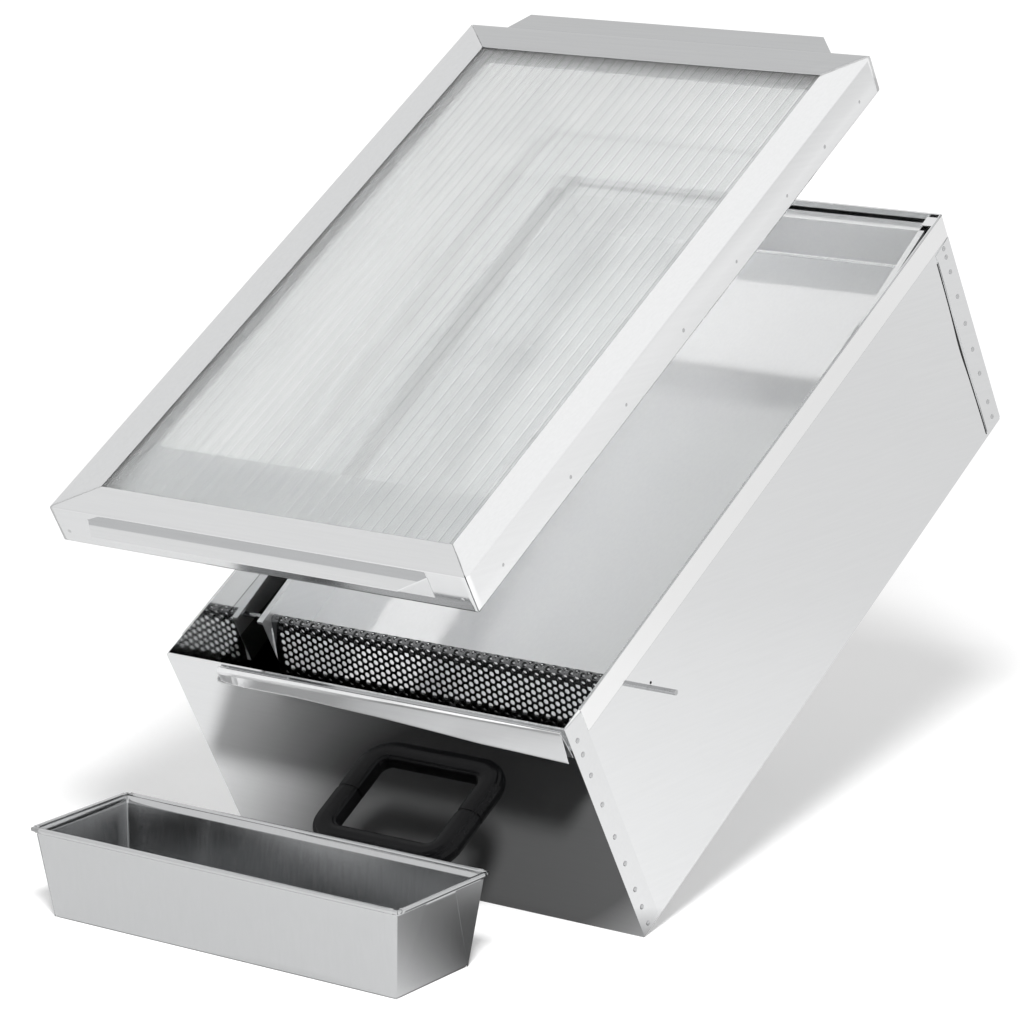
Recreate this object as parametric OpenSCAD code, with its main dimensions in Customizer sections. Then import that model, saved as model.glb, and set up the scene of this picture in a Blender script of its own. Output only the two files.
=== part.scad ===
// Solar wax melter. A leaning sheet-steel casing holds a sloping wax pan and a perforated strainer
// that hangs on a pull-out rod. A twin-wall lid lifts off, a loaf-shaped tray catches the wax, and a
// wire stand folds out of the underside. Lengths are millimetres and angles are degrees.
// Casing pieces are drawn in the casing's own frame: x across and centred, y from the front panel
// towards the rear, z up from the bottom panel. The frame then leans about the lower front edge.

/* [Casing] */
// Width over the side panels
case_w = 422; // [400:1:450]
// Length from the front panel to the rear panel
case_l = 700; // [660:5:760]
// Height of the side panels
case_h = 245; // [236:1:270]
// Lean of the casing, rear end raised
tilt = 29.7; // [24:0.1:34]
// Thickness of the casing's sheet
sheet = 0.8; // [0.6:0.1:1.0]
// Depth of the flanges folded round the upright corners
flange_w = 26; // [20:1:32]
// Bevel at the ends of those flanges
flange_bevel = 3; // [1:0.5:6]
// Height of the hem band along the side panels
hem_h = 25; // [16:1:30]
// Thickness of a folded hem beyond its sheet
hem_t = 1.0; // [0.8:0.1:1.4]
// Depth of the flanges folded inwards along the bottom
foot_flange = 20; // [12:1:24]
// Height of the hem inside the end panels' top edge
end_hem = 7; // [5:1:14]

/* [Front lip] */
// Distance of the lip's left end from the left side panel
lip_left = 56; // [40:1:90]
// Distance of the lip's right end from the right side panel
lip_right = 5; // [3:1:20]
// How far the lip stands out at its left end
lip_out = 4.0; // [3:0.1:4.2]
// How far the lip stands out at its right end
lip_flat = 1.8; // [1.5:0.1:2.5]
// Depth of the lip's turned-down edge
lip_drop = 15; // [10:0.5:20]
// Distance of the lip's root below the panel's top edge
lip_root = 4; // [3:0.5:6]

/* [Handle] */
// Width over the handle's arms
handle_w = 156; // [130:1:180]
// Distance from the front panel to the outside of the grip
handle_out = 62; // [54:1:75]
// Height of the handle's middle above the bottom panel
handle_z = 110; // [80:1:130]
// Width of the arms and depth of the grip
handle_bar = 21; // [18:1:24]
// Thickness of the handle
handle_t = 16; // [13:1:20]
// Outer radius of the handle's corners
handle_round = 30; // [26:1:36]
// Radius of the fixing screws
screw_r = 2.5; // [2:0.25:3]
// Length of screw inside the handle
screw_in = 18; // [12:1:24]

/* [Wax pan] */
// Width of the pan over its hems
pan_w = 398; // [384:1:400]
// Distance from the front panel to the pan's side walls
pan_y0 = 100; // [98:0.5:104]
// Air gap between the pan's rear flange and the rear panel
pan_rear_gap = 4; // [3:0.5:10]
// Depth of the pan's rear flange
pan_flange = 11; // [6:1:16]
// Height of the pan's floor at its front end, above the bottom panel
pan_z = 142.5; // [136:0.5:146]
// Depth of the pan at its front end
pan_front_wall = 53.5; // [50:0.5:56]
// Depth of the pan at its rear end
pan_wall = 46.5; // [44:0.5:50]
// Rise of the pan's floor against the casing
pan_rise = 4.6; // [4:0.05:5]
// Width of the hems along the pan's side walls
pan_hem_w = 6; // [4:0.5:7]
// Height of those hems
pan_hem_h = 3; // [2:0.5:6]
// Thickness of the angle that carries the pan's rear end
support_t = 1.2; // [1:0.1:2]
// Length of pan that rests on that angle
support_lap = 18; // [12:1:30]
// Height of that angle on the rear panel
support_h = 25; // [18:1:40]

/* [Strainer] */
// Radius of the rod that carries the strainer and the pan
rod_r = 2.5; // [2:0.25:3]
// Distance of the rod from the front panel
rod_y = 114; // [112:0.5:118]
// Height of the rod above the bottom panel
rod_z = 188; // [186:0.5:188.5]
// Length of rod outside the right side panel
rod_out = 27; // [15:1:40]
// Length of rod outside the left side panel
rod_left = 3; // [2:0.5:8]
// Running clearance round the rod
rod_gap = 0.08; // [0.04:0.01:0.1]
// Thickness of the perforated sheet
mesh_t = 0.8; // [0.6:0.1:1.0]
// Outer radius of the strainer's hook
hook_r = 3.8; // [3.7:0.1:4.5]
// Length of the hook's straight leg behind the rod
hook_leg = 12.5; // [9:0.5:14]
// Lean of the strainer against the casing's upright
mesh_lean = 16.5; // [14:0.5:18]
// Length of the perforated plate
mesh_l = 95; // [80:1:98]
// Clearance between the strainer and each pan wall
mesh_side = 1.2; // [0.5:0.1:2]
// Spacing of the perforations
hole_pitch = 7; // [6:0.5:9]
// Radius of the perforations
hole_r = 2.45; // [1.75:0.05:2.5]
// Solid margin beside the perforations
hole_margin = 3; // [2:0.5:6]
// Least solid margin between the last perforations and a free end
hole_end = 1; // [0.5:0.5:5]

/* [Lid] */
// Width over the lid's skirt
lid_w = 437; // [434:0.5:440]
// Length over the lid's skirt
lid_l = 711; // [710:0.5:716]
// Height of the lid's skirt
skirt_h = 36.5; // [30:0.5:40]
// Width of the lid's top flange
lid_rim = 33; // [28:1:40]
// Height of the lid above its seat
lid_up = 168; // [120:1:200]
// How far the raised lid stands to the left
lid_left_off = 30; // [0:1:32]
// How far the raised lid stands forwards
lid_fore_off = 13; // [0:1:20]
// Thickness of the twin-wall pane
pane_t = 10; // [8:0.5:12]
// Spacing of the pane's inner ribs
rib_pitch = 11.3; // [9:0.1:14]
// Thickness of the pane's walls and ribs
pane_wall = 0.7; // [0.5:0.1:1]
// Clearance round the pane inside the skirt
pane_gap = 1; // [0.5:0.25:2]
// Thickness of the rails under the pane
rail_t = 1.2; // [1:0.1:1.4]
// Width of the side and rear rails
rail_w = 42; // [36:1:50]
// Width of the front rail
rail_front_w = 101; // [60:1:110]
// Height of the rails' upright legs
rail_h = 22; // [16:1:23]
// Height of the front rail's upright leg
rail_front_h = 6; // [5:0.5:6]
// Length of the lips on the lid's front and rear
lid_lip_l = 358; // [300:1:400]
// How far those lips stand out
lid_lip_out = 20; // [14:1:26]
// Height of the leg that each lip has on the skirt
lid_lip_leg = 21; // [15:1:24]
// Bevel at the ends of those lips
lid_lip_bevel = 18; // [8:1:24]
// Upward slope of the rear lip
lid_lip_slope = 9; // [0:1:14]

/* [Tray] */
// Length over the tray's rim
tray_l = 398; // [340:1:404]
// Width over the tray's rim
tray_w = 130.5; // [110:0.5:134]
// Length of the tray's bottom
tray_base_l = 369; // [320:1:380]
// Width of the tray's bottom
tray_base_w = 99; // [80:1:105]
// Height of the tray up to the middle of its rim
tray_h = 80.5; // [60:0.5:82]
// Radius of the wired rim
rim_r = 2.5; // [2:0.25:3]
// How far the tray stands to the left of the casing's middle
tray_left = 54; // [0:1:60]
// Distance of the tray's middle in front of the casing's lower edge
tray_fore = 196; // [170:1:240]

/* [Stand] */
// Distance of the stand's hinge from the front panel
stand_y = 500; // [460:5:540]
// Depth of the hinge axis below the bottom panel
stand_drop = 9; // [8:0.5:12]
// Lean of the unfolded stand behind the upright
stand_lean = 6.2; // [4:0.1:9]
// Radius of the stand's wire
wire_r = 4; // [3:0.25:4.5]
// Width between the middles of the stand's legs
stand_w = 44; // [40:1:60]
// Bend radius at the stand's corners
stand_round = 10; // [8:0.5:12]
// Radius of the rubber foot
foot_r = 6; // [5.5:0.25:8]
// Thickness of the stand's bracket
bracket_t = 2; // [1.5:0.1:2.5]
// Length of the bracket along the casing
bracket_l = 44; // [38:1:60]
// Depth of the stop behind the legs
stop_h = 14; // [10:1:18]

/* [Rivets] */
// Radius of a rivet's head
rivet_r = 2.4; // [1.8:0.1:3]
// Height of a rivet's head
rivet_h = 1.0; // [0.6:0.1:1.2]
// Heights of the rivets on the front corners, as shares of the casing's height
front_rivets = [0.033, 0.114, 0.2, 0.327, 0.457, 0.612, 0.751, 0.849, 0.914];
// Heights of the rivets on the rear corners, as shares of the casing's height
rear_rivets = [0.053, 0.127, 0.269, 0.388, 0.514, 0.645, 0.763, 0.833, 0.873];
// Places of the rivets along the lid's side skirts, as shares of half the lid's length
lid_side_rivets = [-0.875, -0.565, -0.301, -0.02, 0.248, 0.512, 0.714, 0.903];
// Distance of the rivets on the lid's front and rear skirts from the corners
lid_corner_rivet = 11; // [8:1:20]

/* [Hidden] */
half_w = case_w/2;
touch_gap = 0.3;      // clearance between a lifted piece and its seat
bite = 1;             // how far a cutting tool runs past the face that it cuts

// The pan's floor rises along y, and the strainer hangs in front of its front end.
function pan_floor(y) = pan_z + (y - pan_y0)*tan(pan_rise);
pan_y1 = case_l - sheet - pan_rear_gap - pan_flange;
pan_half = pan_w/2 - pan_hem_w + sheet;

// The hook's inside rests on top of the rod, and the plate hangs in front of it.
hook_in = hook_r - mesh_t;
hook_z = rod_z + rod_r + touch_gap - hook_in;
mesh_half = pan_half - sheet - mesh_side;

// The lid's top face stands on the pane and its rails when the lid is seated.
lid_sheet = sheet;
lid_stack = lid_sheet + pane_t + rail_t;
lid_x = lid_w/2;
lid_y = lid_l/2;

// The hinge's height sets the length of the stand, and its foot rests on the ground.
hinge_height = stand_y*sin(tilt) - stand_drop*cos(tilt);
stand_l = (hinge_height - foot_r)/cos(stand_lean);
stand_angle = tilt - stand_lean;

// The origin lies under the middle of everything, on the ground.
left_end = -lid_left_off - lid_x - rivet_h;
right_end = half_w + rod_out;
front_end = -tray_fore - tray_w/2;
rear_end = case_l*cos(tilt);
shift_x = -(left_end + right_end)/2;
shift_y = -(front_end + rear_end)/2;

module in_casing() translate([shift_x, shift_y, 0]) rotate([tilt, 0, 0]) children();

module in_lid() in_casing()
    translate([-lid_left_off, case_l/2 - lid_fore_off, case_h + lid_stack + lid_up]) children();

module in_tray() translate([shift_x - tray_left, shift_y - tray_fore, 0]) children();

module in_stand() in_casing() translate([0, stand_y, -stand_drop]) rotate([-stand_angle, 0, 0])
    children();

// Extrudes a section drawn in (x, z) along y.
module along_y(y0, y1) translate([0, y1, 0]) rotate([90, 0, 0]) linear_extrude(y1 - y0) children();

// Extrudes a section drawn in (y, z) along x.
module along_x(x0, x1) translate([x0, 0, 0]) rotate([90, 0, 90]) linear_extrude(x1 - x0) children();

module both_sides() {
    children();
    mirror([1, 0, 0]) children();
}

module rivet_head() cylinder(h = rivet_h, r1 = rivet_r, r2 = rivet_r*0.62, $fn = 24);

module rod_bore() translate([-case_w, rod_y, rod_z]) rotate([0, 90, 0])
    cylinder(h = 2*case_w, r = rod_r + rod_gap, $fn = 32);

module casing_wrap() color("#c9cbcd") in_casing() difference() {
    union() {
        along_y(sheet, case_l - sheet) difference() {
            translate([-half_w, 0]) square([case_w, case_h]);
            translate([-half_w + sheet, sheet]) square([case_w - 2*sheet, case_h]);
        }
        both_sides() translate([half_w - sheet, flange_w, case_h - hem_h])
            cube([sheet + hem_t, case_l - sheet - flange_w, hem_h]);
    }
    rod_bore();
}

// A panel with flanges folded round both upright corners, along the bottom and inside the top.
module end_panel(flange_top) {
    inner = half_w - sheet;
    translate([-half_w, 0, 0]) cube([case_w, sheet, case_h]);
    translate([-half_w - sheet, 0, flange_bevel])
        cube([case_w + 2*sheet, sheet, flange_top - flange_bevel]);
    both_sides() along_x(half_w, half_w + sheet) polygon([
        [0, flange_bevel], [sheet, flange_bevel], [flange_w, 2*flange_bevel],
        [flange_w, flange_top - flange_bevel], [sheet, flange_top], [0, flange_top]]);
    translate([-inner, 0, sheet]) cube([2*inner, foot_flange, sheet]);
    translate([-inner, 0, case_h - end_hem]) cube([2*inner, sheet + hem_t, end_hem]);
}

handle_screw_x = handle_w/2 - handle_bar/2;

module front_panel() color("#c4c6c8") in_casing() difference() {
    end_panel(case_h - sheet);
    both_sides() translate([handle_screw_x, -bite, handle_z]) rotate([-90, 0, 0])
        cylinder(h = sheet + 2*bite, r = screw_r + 0.2, $fn = 24);
}

module rear_panel() color("#c4c6c8") in_casing() translate([0, case_l, 0]) mirror([0, 1, 0])
    end_panel(case_h - hem_h - 1);

// The lip is one strip: its top slopes out of the panel and its edge turns down. It stands out at
// the left and lies nearly flat at the right.
module lip_edge(x, out) {
    root = case_h - lip_root;
    translate([x, -sheet, root - sheet]) cube([0.5, sheet, sheet]);
    translate([x, -out, root - sheet - out*0.8]) cube([0.5, sheet, sheet]);
}

module lip_skirt(x, out, drop) {
    top = case_h - lip_root - out*0.8;
    translate([x, -out, top - drop]) cube([0.5, sheet, drop]);
}

module front_lip() color("#d4d6d8") in_casing() {
    x0 = -half_w + lip_left;
    x1 = half_w - lip_right;
    bend = x0 + (x1 - x0)*0.45;
    stations = [[x0, lip_out, lip_drop], [bend, lip_out*0.85, lip_drop*1.1],
        [x1 - 0.5, lip_flat, lip_drop*1.35]];
    for (i = [0:1]) {
        a = stations[i];
        b = stations[i + 1];
        hull() {
            lip_edge(a[0], a[1]);
            lip_edge(b[0], b[1]);
        }
        hull() {
            lip_skirt(a[0], a[1], a[2]);
            lip_skirt(b[0], b[1], b[2]);
        }
    }
}

module corner_rivets() color("#dfe0e1") in_casing() both_sides() {
    for (z = front_rivets) translate([half_w + sheet, flange_w*0.38, z*case_h])
        rotate([0, 90, 0]) rivet_head();
    for (z = rear_rivets) translate([half_w + sheet, case_l - flange_w*0.46, z*case_h])
        rotate([0, 90, 0]) rivet_head();
}

// Section of the handle's arms and grip: an oval with flat faces, drawn around its middle.
module handle_section() {
    round_r = handle_t*0.42;
    flat_w = handle_bar - 2*round_r;
    flat_t = handle_t - 2*round_r;
    corner = [for (a = [0:15:90]) [round_r*cos(a), round_r*sin(a)]];
    polygon([
        for (p = corner) [flat_w/2 + p[0], flat_t/2 + p[1]],
        for (p = corner) [-flat_w/2 - p[1], flat_t/2 + p[0]],
        for (p = corner) [-flat_w/2 - p[0], -flat_t/2 - p[1]],
        for (p = corner) [flat_w/2 + p[1], -flat_t/2 - p[0]]]);
}

module handle() color("#1c1c1d") in_casing() difference() {
    bend = handle_round - handle_bar/2;
    arm_x = handle_w/2 - handle_bar/2;
    grip_y = -handle_out + handle_bar/2;
    union() {
        both_sides() {
            translate([arm_x, grip_y + bend, handle_z]) rotate([-90, 0, 0])
                linear_extrude(-grip_y - bend) handle_section();
            translate([arm_x - bend, grip_y + bend, handle_z]) rotate([0, 0, -90])
                rotate_extrude(angle = 90, $fn = 48) translate([bend, 0]) handle_section();
        }
        translate([-arm_x + bend, grip_y, handle_z]) rotate([90, 0, 90])
            linear_extrude(2*(arm_x - bend)) handle_section();
    }
    both_sides() translate([handle_screw_x, bite, handle_z]) rotate([90, 0, 0])
        cylinder(h = screw_in + bite + 1, r = screw_r + 0.05, $fn = 24);
}

module handle_screws() color("#b9bbbd") in_casing() both_sides()
    translate([handle_screw_x, -screw_in, handle_z]) rotate([-90, 0, 0]) {
        cylinder(h = screw_in + sheet, r = screw_r, $fn = 24);
        translate([0, 0, screw_in + sheet]) cylinder(h = 2.4, r1 = screw_r*1.9, r2 = screw_r*1.2,
            $fn = 24);
    }

// One folded sheet: floor, two side walls and a rear wall with a flange. The side walls carry hems
// and hang on the rod.
module pan() color("#cfd1d3") in_casing() difference() {
    wall_in = pan_half - sheet;
    front_top = pan_z + pan_front_wall;
    rear_top = pan_floor(pan_y1) + pan_wall;
    union() {
        both_sides() {
            along_x(wall_in, pan_half) polygon([[pan_y0, pan_z], [pan_y0, front_top],
                [pan_y1, rear_top], [pan_y1, pan_floor(pan_y1)]]);
            along_x(wall_in, pan_w/2) polygon([[pan_y0, front_top - pan_hem_h],
                [pan_y0, front_top], [pan_y1, rear_top], [pan_y1, rear_top - pan_hem_h]]);
        }
        along_x(-pan_half, pan_half) polygon([[pan_y0, pan_z], [pan_y0, pan_z + sheet],
            [pan_y1, pan_floor(pan_y1) + sheet], [pan_y1, pan_floor(pan_y1)]]);
        along_x(-pan_half, pan_half) polygon([[pan_y1 - sheet, pan_floor(pan_y1 - sheet)],
            [pan_y1 - sheet, rear_top], [pan_y1 + pan_flange, rear_top],
            [pan_y1 + pan_flange, rear_top - sheet], [pan_y1, rear_top - sheet],
            [pan_y1, pan_floor(pan_y1)]]);
    }
    rod_bore();
}

// An angle on the rear panel: the pan's floor rests on its front edge.
module pan_support() color("#b4b6b8") in_casing() {
    front = pan_y1 - support_lap;
    rear = case_l - sheet;
    top = pan_floor(front) - touch_gap;
    along_x(-pan_half + 8, pan_half - 8) polygon([[front, top - support_t], [front, top],
        [rear, top], [rear, top - support_h], [rear - support_t, top - support_h],
        [rear - support_t, top - support_t]]);
}

// The strainer's own frame: x across, y down the sheet, z forwards, with the hook's middle at zero.
module in_strainer() in_casing() translate([0, rod_y, hook_z]) rotate([-mesh_lean, 0, 0])
    rotate([90, 0, 0]) mirror([0, 1, 0]) children();

// A sheet with staggered rows of round holes, from y = 0 down to its free end.
module perforated(length) linear_extrude(mesh_t) difference() {
    translate([-mesh_half, 0]) square([2*mesh_half, length]);
    column = hole_pitch*sqrt(3)/2;
    columns = floor((mesh_half - hole_margin - hole_r)/column);
    for (i = [-columns:columns]) {
        first = hole_margin + hole_r + (i % 2 == 0 ? 0 : hole_pitch/2);
        for (y = [first:hole_pitch:length - hole_end - hole_r]) translate([i*column, y])
            circle(r = hole_r, $fn = 16);
    }
}

module strainer_plate() color("#3a3b3c") in_strainer() translate([0, 0, hook_in])
    perforated(mesh_l);

// The plate's top edge, bent backwards over the rod and down behind it.
module strainer_hook() color("#8d8f91") in_strainer() {
    rotate([0, 90, 0]) rotate([0, 0, 90]) translate([0, 0, -mesh_half]) linear_extrude(2*mesh_half)
        difference() {
            circle(r = hook_r, $fn = 64);
            circle(r = hook_in, $fn = 64);
            translate([0, -2*hook_r]) square(4*hook_r);
        }
    translate([0, 0, -hook_r]) perforated(hook_leg);
}

module strainer_rod() color("#8f9193") in_casing() translate([-half_w - rod_left, rod_y, rod_z])
    rotate([0, 90, 0]) cylinder(h = case_w + rod_left + rod_out, r = rod_r, $fn = 32);

// A member of the lid's frame along the lower edge of a rectangle with half sizes x and y: a mitred
// top flange over a skirt, whose half length is skirt_x.
module lid_member(x, y, skirt_x) {
    translate([0, 0, -lid_sheet]) linear_extrude(lid_sheet)
        polygon([[-x, -y], [x, -y], [x - lid_rim, -y + lid_rim], [-x + lid_rim, -y + lid_rim]]);
    translate([-skirt_x, -y, -skirt_h]) cube([2*skirt_x, lid_sheet, skirt_h]);
}

module lid_front() color("#d3d5d7") in_lid() lid_member(lid_x, lid_y, lid_x - lid_sheet);

module lid_rear() color("#d3d5d7") in_lid() rotate([0, 0, 180])
    lid_member(lid_x, lid_y, lid_x - lid_sheet);

module lid_right() color("#d3d5d7") in_lid() rotate([0, 0, 90]) lid_member(lid_y, lid_x, lid_y);

module lid_left() color("#d3d5d7") in_lid() rotate([0, 0, -90]) lid_member(lid_y, lid_x, lid_y);

module pane() color("#e8edf0", 0.5) in_lid() {
    w = lid_w - 2*lid_sheet - 2*pane_gap;
    l = lid_l - 2*lid_sheet - 2*pane_gap;
    cells = floor((w - pane_wall)/rib_pitch);
    first = -cells*rib_pitch/2;
    along_y(-l/2, l/2) translate([0, -lid_sheet - pane_t]) difference() {
        translate([-w/2, 0]) square([w, pane_t]);
        for (i = [0:cells - 1]) translate([first + i*rib_pitch + pane_wall/2, pane_wall])
            square([rib_pitch - pane_wall, pane_t - 2*pane_wall]);
    }
}

rail_z = -lid_stack;
rail_side_x = lid_x - lid_sheet;
rail_end_y = lid_y - lid_sheet;

module rail_front() color("#c6c8ca") in_lid() {
    translate([-rail_side_x, -rail_end_y, rail_z]) cube([2*rail_side_x, rail_front_w, rail_t]);
    translate([-rail_side_x + rail_t, -rail_end_y, rail_z - rail_front_h])
        cube([2*rail_side_x - 2*rail_t, rail_t, rail_front_h]);
}

module rail_rear() color("#c6c8ca") in_lid() {
    translate([-rail_side_x, rail_end_y - rail_w, rail_z]) cube([2*rail_side_x, rail_w, rail_t]);
    translate([-rail_side_x + rail_t, rail_end_y - rail_t, rail_z - rail_h])
        cube([2*rail_side_x - 2*rail_t, rail_t, rail_h]);
}

module side_rail() {
    y0 = -rail_end_y + rail_front_w;
    y1 = rail_end_y - rail_w;
    translate([rail_side_x - rail_w, y0, rail_z]) cube([rail_w, y1 - y0, rail_t]);
    translate([rail_side_x - rail_t, -rail_end_y, rail_z - rail_h])
        cube([rail_t, 2*rail_end_y, rail_h]);
}

module rail_right() color("#c6c8ca") in_lid() side_rail();

module rail_left() color("#c6c8ca") in_lid() mirror([1, 0, 0]) side_rail();

// A bevelled lip on the outside of the skirt, with a leg on the skirt below it.
module lid_lip(below, slope) {
    root = lid_lip_l/2;
    translate([-root, -lid_y - rail_t, -below - lid_lip_leg]) cube([2*root, rail_t, lid_lip_leg]);
    translate([0, -lid_y, -below]) rotate([-slope, 0, 0]) translate([0, 0, -rail_t])
        linear_extrude(rail_t) polygon([[-root, 0], [root, 0],
            [root - lid_lip_bevel, -lid_lip_out], [-root + lid_lip_bevel, -lid_lip_out]]);
}

module lid_front_lip() color("#dcdddf") in_lid() lid_lip(7, 0);

module lid_rear_lip() color("#dcdddf") in_lid() rotate([0, 0, 180]) lid_lip(1, lid_lip_slope);

module lid_rivets() color("#dfe0e1") in_lid() {
    rivet_z = -lid_stack - rail_h*0.6;
    both_sides() for (y = lid_side_rivets) translate([lid_x, y*lid_y, rivet_z])
        rotate([0, 90, 0]) rivet_head();
    both_sides() for (s = [-1, 1]) translate([lid_x - lid_corner_rivet, s*lid_y, rivet_z])
        rotate([-90*s, 0, 0]) rivet_head();
}

// The tray's walls slope from the rim down to the bottom.
tray_top_x = tray_l/2 - 2*rim_r;
tray_top_y = tray_w/2 - 2*rim_r;

module tray_prism(inset, z0, z1) {
    k0 = z0/tray_h;
    k1 = z1/tray_h;
    function half_x(k) = tray_base_l/2 + (tray_top_x - tray_base_l/2)*k - inset;
    function half_y(k) = tray_base_w/2 + (tray_top_y - tray_base_w/2)*k - inset;
    polyhedron(points = [
        for (s = [[-1, -1], [1, -1], [1, 1], [-1, 1]]) [s[0]*half_x(k0), s[1]*half_y(k0), z0],
        for (s = [[-1, -1], [1, -1], [1, 1], [-1, 1]]) [s[0]*half_x(k1), s[1]*half_y(k1), z1]],
        faces = [[0, 1, 2, 3], [7, 6, 5, 4], [0, 4, 5, 1], [1, 5, 6, 2], [2, 6, 7, 3],
            [3, 7, 4, 0]]);
}

module tray_body() color("#bdbfc1") in_tray() difference() {
    tray_prism(0, 0, tray_h);
    tray_prism(sheet, sheet, tray_h + bite);
}

module tray_rim() color("#c9cbcd") in_tray() translate([0, 0, tray_h]) {
    x = tray_top_x + rim_r;
    y = tray_top_y + rim_r;
    both_sides() {
        translate([x, y, 0]) rotate([90, 0, 0]) cylinder(h = 2*y, r = rim_r, $fn = 24);
        translate([x, y, 0]) sphere(r = rim_r, $fn = 24);
        translate([x, -y, 0]) sphere(r = rim_r, $fn = 24);
    }
    for (s = [-1, 1]) translate([-x, s*y, 0]) rotate([0, 90, 0])
        cylinder(h = 2*x, r = rim_r, $fn = 24);
}

// The corners' spare sheet, folded flat against each end wall as two triangles.
module tray_flaps() color("#b3b5b7") in_tray() {
    slope = atan((tray_top_x - tray_base_l/2)/tray_h);
    wall_l = (tray_h - rim_r)/cos(slope);
    base_y = tray_base_w/2;
    reach = tray_base_w*0.4;
    top_y = base_y + (tray_top_y - base_y)*(tray_h - rim_r)/tray_h;
    both_sides() translate([tray_base_l/2, 0, 0]) rotate([0, slope, 0]) rotate([90, 0, 90])
        linear_extrude(sheet) for (s = [-1, 1])
            polygon([[s*base_y, 0], [s*top_y, wall_l - 2], [s*(top_y - reach), wall_l - 2]]);
}

// Base plate on the bottom panel, a rolled knuckle round the stand's wire and a stop behind its legs.
module stand_bracket() color("#a9abad") in_casing() translate([0, stand_y, 0]) {
    knuckle_r = wire_r + rod_gap + bracket_t;
    half_l = stand_w/2 + wire_r;
    knuckle_half = stand_w/2 - stand_round - 1;
    base_y1 = bracket_l*0.6;
    along_x(-half_l, half_l) translate([base_y1 - bracket_l, -bracket_t])
        square([bracket_l, bracket_t]);
    along_x(-knuckle_half, knuckle_half) difference() {
        union() {
            translate([0, -stand_drop]) circle(r = knuckle_r, $fn = 48);
            translate([-knuckle_r, -stand_drop]) square([bracket_t, stand_drop]);
        }
        translate([0, -stand_drop]) circle(r = wire_r + rod_gap, $fn = 48);
    }
    // The stop's face lies against the back of the legs.
    along_x(-half_l, half_l) translate([0, -stand_drop]) rotate(-stand_angle)
        translate([wire_r + touch_gap, -stop_h]) square([bracket_t,
            stop_h + (stand_drop - bracket_t)/cos(stand_angle)
            + (wire_r + touch_gap)*tan(stand_angle) - 0.01]);
}

// A closed rectangle of wire. Its top bar turns in the bracket's knuckle.
module stand_loop() color("#b0b2b4") in_stand() {
    x = stand_w/2;
    b = stand_round;
    for (z = [0, -stand_l]) translate([-x + b, 0, z]) rotate([0, 90, 0])
        cylinder(h = 2*(x - b), r = wire_r, $fn = 32);
    both_sides() {
        translate([x, 0, -stand_l + b]) cylinder(h = stand_l - 2*b, r = wire_r, $fn = 32);
        translate([x - b, 0, -b]) rotate([90, 0, 0]) rotate_extrude(angle = 90, $fn = 48)
            translate([b, 0]) circle(r = wire_r, $fn = 32);
        translate([x - b, 0, -stand_l + b]) rotate([90, 0, 0]) rotate([0, 0, -90])
            rotate_extrude(angle = 90, $fn = 48) translate([b, 0]) circle(r = wire_r, $fn = 32);
    }
}

module stand_foot() color("#232324") in_stand() {
    l = stand_w - 2*stand_round;
    translate([-l/2, 0, -stand_l]) rotate([0, 90, 0]) difference() {
        cylinder(h = l, r = foot_r, $fn = 48);
        translate([0, 0, -bite]) cylinder(h = l + 2*bite, r = wire_r + 0.05, $fn = 48);
    }
}

module stand_rivets() color("#dfe0e1") in_casing() both_sides() for (y = [-0.25, 0.45])
    translate([stand_w/2 - 3, stand_y + bracket_l*y, -bracket_t]) rotate([180, 0, 0]) rivet_head();

casing_wrap();
front_panel();
rear_panel();
front_lip();
corner_rivets();
handle();
handle_screws();
pan();
pan_support();
strainer_plate();
strainer_hook();
strainer_rod();
lid_front();
lid_rear();
lid_left();
lid_right();
pane();
rail_front();
rail_rear();
rail_left();
rail_right();
lid_front_lip();
lid_rear_lip();
lid_rivets();
tray_body();
tray_rim();
tray_flaps();
stand_bracket();
stand_loop();
stand_foot();
stand_rivets();
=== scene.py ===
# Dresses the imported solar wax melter: steel finishes, formed pieces, floor and soft studio light.
import math
import bmesh
import bpy
import numpy as np
from mathutils import Matrix, Vector


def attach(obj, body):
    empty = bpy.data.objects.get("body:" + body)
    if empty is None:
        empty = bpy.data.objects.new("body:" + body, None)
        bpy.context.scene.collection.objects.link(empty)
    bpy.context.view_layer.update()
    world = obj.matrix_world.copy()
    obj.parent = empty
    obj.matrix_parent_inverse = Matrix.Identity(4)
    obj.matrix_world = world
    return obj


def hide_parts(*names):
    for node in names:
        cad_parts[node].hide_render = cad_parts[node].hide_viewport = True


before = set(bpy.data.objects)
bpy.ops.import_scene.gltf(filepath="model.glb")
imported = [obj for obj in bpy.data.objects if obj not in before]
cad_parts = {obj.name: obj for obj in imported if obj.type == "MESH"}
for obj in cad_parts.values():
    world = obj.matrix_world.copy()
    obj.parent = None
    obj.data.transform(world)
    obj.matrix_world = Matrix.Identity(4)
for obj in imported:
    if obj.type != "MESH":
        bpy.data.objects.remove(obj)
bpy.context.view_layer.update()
scene = bpy.context.scene
scene.view_settings.view_transform = "Standard"

# The casing leans about its lower front edge. Lengths below are millimetres in the casing's frame,
# with x across, y towards the rear and z up from the bottom panel, until toRow turns them.
casing = {"tilt": math.radians(29.7), "shiftX": 5.75, "shiftY": -173.396,
          "halfWidth": 211.0, "height": 245.0, "sheet": 0.8}
cosTilt, sinTilt = math.cos(casing["tilt"]), math.sin(casing["tilt"])


# Turns casing millimetres into row frame metres, whole arrays at once.
def toRow(x, y, z):
    x, y, z = np.broadcast_arrays(np.asarray(x, float), np.asarray(y, float), np.asarray(z, float))
    return np.stack([x + casing["shiftX"],
                     y * cosTilt - z * sinTilt + casing["shiftY"],
                     y * sinTilt + z * cosTilt], -1) / 1000


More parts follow.
